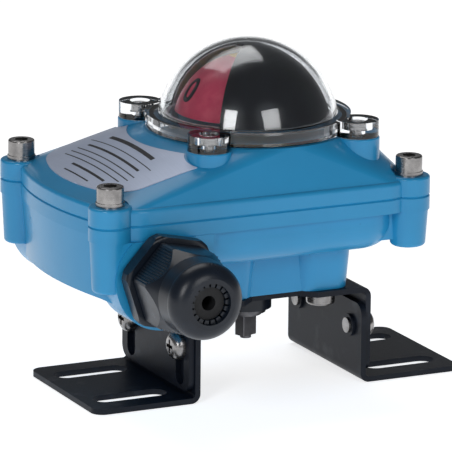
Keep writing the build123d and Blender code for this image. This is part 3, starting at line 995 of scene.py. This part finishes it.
@dataclass
class Indicator(Assembly):
    """Clear dome, black mask and the two-colour rotor with its figures.

    Attributes:
        rotor_radius: radius of the rotor's dome.
        figure_height: height of a printed figure.
        capital_share: height of a figure as a share of the font's size.
        figure_latitude: angle of its middle above the rim, in degrees.
        figure_lift: height of its middle layer above the rotor.
        figure_weight: how much its strokes are thickened.
        figure_ink: thickness of the print.
        red_sides: angles of the red quarters' middles about the shaft, in degrees.
        yellow_sides: angles of the yellow quarters' middles.
    """

    rotor_radius: float = 24.0 * MM
    figure_height: float = 8.5 * MM
    capital_share: float = 0.72
    figure_latitude: float = 34.0
    figure_lift: float = 0.06 * MM
    figure_weight: float = 0.25 * MM
    figure_ink: float = 0.10 * MM
    red_sides: tuple[float, float] = (0.0, 180.0)
    yellow_sides: tuple[float, float] = (90.0, 270.0)

    finishes = {
        "indicator_dome": Finish.CLEAR,
        "dome_gasket": Finish.RUBBER,
        "dome_screws": Finish.STAINLESS,
        "indicator_mask": Finish.MASK,
        "rotor_red": Finish.RED,
        "rotor_yellow": Finish.YELLOW,
    }

    def figure(self, text: str, azimuth: float) -> bpy.types.Object:
        """A printed figure wrapped on the rotor.

        Args:
            text: the figure, plain digits.
            azimuth: angle of its middle about the shaft, in degrees.

        Returns:
            The thin solid figure.
        """
        Bench.clear()
        bpy.ops.object.text_add(location=(0, 0, 0))
        words = bpy.context.object
        words.data.body = text
        words.data.size = self.figure_height / self.capital_share
        words.data.align_x = "CENTER"
        words.data.align_y = "CENTER"
        words.data.resolution_u = 6
        words.data.offset = self.figure_weight
        bpy.ops.object.convert(target="MESH")
        radius = self.rotor_radius + self.figure_lift
        base = math.radians(self.figure_latitude)
        for vertex in words.data.vertices:
            turn = math.radians(azimuth) + vertex.co.x / (radius * math.cos(base))
            rise = base + vertex.co.y / radius
            flat = radius * math.cos(rise)
            vertex.co = (
                flat * math.cos(turn),
                flat * math.sin(turn),
                DOME_CENTRE + radius * math.sin(rise),
            )
        Bench.modify(words, "SOLIDIFY", thickness=self.figure_ink, offset=0.0)
        Bench.outward(words)
        return words

    def pieces(self) -> Iterable[bpy.types.Object]:
        """Figures for the two end positions.

        Returns:
            The four figures, joined into one piece.
        """
        figures = [self.figure("0", side) for side in self.red_sides]
        figures += [self.figure("90", side) for side in self.yellow_sides]
        printed = Bench.joined(figures, "rotor_figures")
        yield Bench.dress(printed, Finish.INK, Body.SHAFT, "mask_black")


@dataclass
class Gland(Assembly):
    """Cable gland at the front and the blanking plug at the back.

    Attributes:
        flat_distance: distance of the cap nut's flats from its axis.
        grip_radius: radius that takes the corners off its hexagon.
        grip_length: distance from the nut's back over which that radius holds.
        nose_slope: length of the taper for each unit that its radius loses.
        rib_flats: angles of the ribbed flats about the axis, in degrees.
        rib_count: ribs on a flat.
        rib_pitch: distance between ribs.
        rib_size: width, length and height of the rib that the others are stretched from.
        rib_crest: size of its crest as a share of its foot, on each axis.
        rib_round: rounding of the crest.
        rib_setback: distance of the ribs from the nut's back.
        rib_margin: how far a rib stops short of the taper, counted in radius.
    """

    flat_distance: float = 12.5 * MM
    grip_radius: float = 14.2 * MM
    grip_length: float = 8.5 * MM
    nose_slope: float = 6.0 / 1.9
    rib_flats: tuple[float, ...] = (138.0, 258.0, 18.0)
    rib_count: int = 14
    rib_pitch: float = 0.92 * MM
    rib_size: Triple = (0.5 * MM, 8.0 * MM, 0.9 * MM)
    rib_crest: Triple = (0.55, 0.94, 1.0)
    rib_round: float = 0.10 * MM
    rib_setback: float = 1.0 * MM
    rib_margin: float = 0.2 * MM

    finishes = {
        "gland_body": Finish.NYLON,
        "gland_washer": Finish.RUBBER,
        "gland_cap_nut": Finish.NYLON,
        "gland_claw": Finish.NYLON,
        "gland_seal": Finish.RUBBER,
        "blanking_plug": Finish.NYLON,
        "plug_washer": Finish.RUBBER,
    }

    def rib(self) -> bpy.types.Object:
        """One grip rib at the frame's origin, its crest up and rounded.

        Returns:
            The rib.
        """
        Bench.clear()
        bpy.ops.mesh.primitive_cube_add(size=1.0, location=(0, 0, 0))
        bar = bpy.context.object
        bar.scale = self.rib_size
        Bench.settle(bar)
        top = self.rib_size[2] / 2
        Bench.edit(bar, "FACE", lambda face: face.normal.z > 0.9)
        bpy.ops.transform.resize(value=self.rib_crest)
        bpy.ops.object.mode_set(mode="OBJECT")
        high = [vertex.co.z > 0.9 * top for vertex in bar.data.vertices]
        crest = [all(high[v] for v in edge.vertices) for edge in bar.data.edges]
        Bench.edit(bar, "EDGE", lambda edge: crest[edge.index])
        bpy.ops.mesh.bevel(offset=self.rib_round, segments=2)
        bpy.ops.object.mode_set(mode="OBJECT")
        return bar

    def rib_length(self, aside: float) -> float:
        """Length of a rib, which ends where the round nose cuts into its flat.

        Args:
            aside: distance of the rib from the middle of its flat.

        Returns:
            The length, from the setback at the nut's back.
        """
        crest = math.hypot(self.flat_distance, aside) + self.rib_margin
        taper = (self.grip_radius - crest) * self.nose_slope
        return self.grip_length + taper - self.rib_setback

    def pieces(self) -> Iterable[bpy.types.Object]:
        """Grip ribs on every other flat of the cap nut.

        Returns:
            The ribs, joined into one piece.
        """
        low, high = (Vector(corner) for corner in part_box("gland_cap_nut"))
        middle = (low + high) / 2
        back = Matrix.Translation((middle.x, high.y - self.rib_setback, middle.z))
        bar = self.rib()
        ribs = []
        for angle in self.rib_flats:
            stand = Matrix.Rotation(math.radians(90.0 - angle), 4, "Y")
            for step in range(self.rib_count):
                aside = (step - (self.rib_count - 1) / 2) * self.rib_pitch
                length = self.rib_length(aside)
                stretch = Matrix.Diagonal((1.0, length / self.rib_size[1], 1.0, 1.0))
                place = Matrix.Translation((aside, -length / 2, self.flat_distance))
                ribs.append(Bench.copy(bar, back @ stand @ place @ stretch))
        bpy.data.objects.remove(bar)
        grip = Bench.joined(ribs, "gland_grip_ribs")
        Bench.smooth(grip)
        yield Bench.dress(grip, Finish.NYLON, Body.HOUSING, "black_nylon")


@dataclass
class Drive(Assembly):
    """Shaft, bearings, seal and cams."""

    finishes = {
        "shaft": Finish.SHAFT_STEEL,
        "shaft_circlip": Finish.SHAFT_STEEL,
        "lower_bush": Finish.NYLON,
        "upper_bush": Finish.NYLON,
        "shaft_seal": Finish.RUBBER,
        "cam_closed": Finish.RED,
        "cam_open": Finish.YELLOW,
        "cam_spring": Finish.SPRING_STEEL,
        "cam_collar": Finish.NYLON,
    }


@dataclass
class Switching(Assembly):
    """Switches, levers, terminals and their plate."""

    finishes = {
        "switch_plate": Finish.ZINC,
        "plate_screws": Finish.ZINC,
        "microswitch_closed": Finish.SWITCH,
        "microswitch_open": Finish.SWITCH,
        "switch_spacer": Finish.SWITCH,
        "switch_screws": Finish.ZINC,
        "lever_closed": Finish.SPRING_STEEL,
        "lever_open": Finish.SPRING_STEEL,
        "terminal_block": Finish.TERMINAL,
        "terminal_screws": Finish.ZINC,
    }


@dataclass
class Mounting(Assembly):
    """Folded bracket, its two feet and their screws."""

    finishes = {
        "u_bracket": Finish.POWDER_COAT,
        "left_foot": Finish.POWDER_COAT,
        "right_foot": Finish.POWDER_COAT,
        "bracket_bolts": Finish.STAINLESS,
        "bracket_washers": Finish.STAINLESS,
        "left_foot_screws": Finish.STAINLESS,
        "right_foot_screws": Finish.STAINLESS,
    }


# ---------------------------------------------------------------- studio
@dataclass(frozen=True)
class SoftBox:
    """Rectangular soft light that faces the box.

    Attributes:
        name: name of the light.
        aside: angle to the right of the camera, in degrees.
        rise: angle above the floor, in degrees.
        away: distance from the box.
        size: width and height.
        power: watts.
    """

    name: str
    aside: float
    rise: float
    away: float
    size: tuple[float, float]
    power: float


@dataclass
class Studio:
    """Pale floor, soft boxes and the camera.

    Attributes:
        azimuth: angle of the camera to the right of the front, in degrees.
        elevation: angle of the camera above the floor, in degrees.
        roll: turn of the camera about its own axis, in degrees.
        distance: distance of the camera from what it looks at.
        lens: focal length in millimetres.
        sensor: width of the camera's sensor in millimetres.
        sight: how far the camera sees.
        aim_aside: how far right of the shaft the camera looks.
        aim_height: height that the camera looks at.
        floor_half: half the side of the floor.
        floor_drop: gap between the feet and the floor, against flicker.
        boxes: the soft lights.
        room: colour of the room's own light.
        room_light: strength of the room's own light.
    """

    azimuth: float = -25.78
    elevation: float = 14.22
    roll: float = 0.53
    distance: float = 1.5434
    lens: float = 384.4
    sensor: float = 36.0
    sight: float = 100.0
    aim_aside: float = -6.6 * MM
    aim_height: float = 48.5 * MM
    floor_half: float = 6.0
    floor_drop: float = 0.2 * MM
    boxes: tuple[SoftBox, ...] = (
        SoftBox("left_box", -24.0, 24.0, 1.6, (0.42, 0.62), 7.0),
        SoftBox("right_box", 32.0, 24.0, 1.6, (0.60, 0.62), 5.0),
        SoftBox("top_box", 205.0, 62.0, 2.2, (1.6, 1.2), 13.0),
        SoftBox("back_box", 180.0, 4.0, 2.6, (3.2, 0.45), 4.0),
    )
    room: Colour = (0.95, 0.97, 1.0)
    room_light: float = 0.11

    def way(self, aside: float, rise: float) -> Vector:
        """Direction away from the box.

        Args:
            aside: angle to the right of the camera, in degrees.
            rise: angle above the floor, in degrees.

        Returns:
            A unit vector.
        """
        turn = math.radians(self.azimuth + aside)
        up = math.radians(rise)
        return Vector((math.sin(turn) * math.cos(up), -math.cos(turn) * math.cos(up), math.sin(up)))

    def camera(self) -> None:
        """Long lens at the viewing angle, a little rolled."""
        back = self.way(0.0, self.elevation)
        right = Vector((0.0, 0.0, 1.0)).cross(back).normalized()
        target = right * self.aim_aside + Vector((0.0, 0.0, self.aim_height))
        data = bpy.data.cameras.new("camera")
        data.lens = self.lens
        data.sensor_width = self.sensor
        data.clip_end = self.sight
        level = (-back).to_track_quat("-Z", "Y").to_matrix()
        rolled = level @ Matrix.Rotation(math.radians(self.roll), 3, "Z")
        camera = bpy.data.objects.new("camera", data)
        camera.matrix_world = Matrix.Translation(target + back * self.distance) @ rolled.to_4x4()
        bpy.context.scene.collection.objects.link(camera)
        bpy.context.scene.camera = camera

    def floor(self) -> None:
        """Wide sheet of studio paper under the feet."""
        Bench.clear()
        bpy.ops.mesh.primitive_plane_add(size=2 * self.floor_half, location=(0, 0, -self.floor_drop))
        paper = bpy.context.object
        paper.name = "studio_floor"
        Bench.settle(paper)
        paper.data.materials.append(StudioPaper().material())

    def soft_box(self, box: SoftBox) -> None:
        """Hangs one soft light.

        Args:
            box: its place, size and power.
        """
        data = bpy.data.lights.new(box.name, "AREA")
        data.shape = "RECTANGLE"
        data.size, data.size_y = box.size
        data.energy = box.power
        way = self.way(box.aside, box.rise)
        facing = way.to_track_quat("Z", "Y").to_matrix().to_4x4()
        light = bpy.data.objects.new(box.name, data)
        light.matrix_world = Matrix.Translation(way * box.away) @ facing
        bpy.context.scene.collection.objects.link(light)

    def lights(self) -> None:
        """Two boxes beside the camera, one above, a low one behind, and a dim room."""
        for box in self.boxes:
            self.soft_box(box)
        world = bpy.data.worlds.new("room")
        world.use_nodes = True
        background = world.node_tree.nodes["Background"]
        background.inputs["Color"].default_value = (*self.room, 1.0)
        background.inputs["Strength"].default_value = self.room_light
        bpy.context.scene.world = world
        bpy.context.scene.view_settings.view_transform = "Standard"

    def build(self) -> None:
        """Sets up floor, lights and camera."""
        self.floor()
        self.lights()
        self.camera()


def main() -> None:
    """Dresses the frame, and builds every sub-assembly and the studio."""
    logging.basicConfig(level=logging.INFO, format="%(message)s")
    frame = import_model()
    for kind in (Enclosure, Label, Indicator, Gland, Drive, Switching, Mounting):
        kind(frame).build()
    Studio().build()
    bpy.context.view_layer.update()


if __name__ == "__main__":
    main()
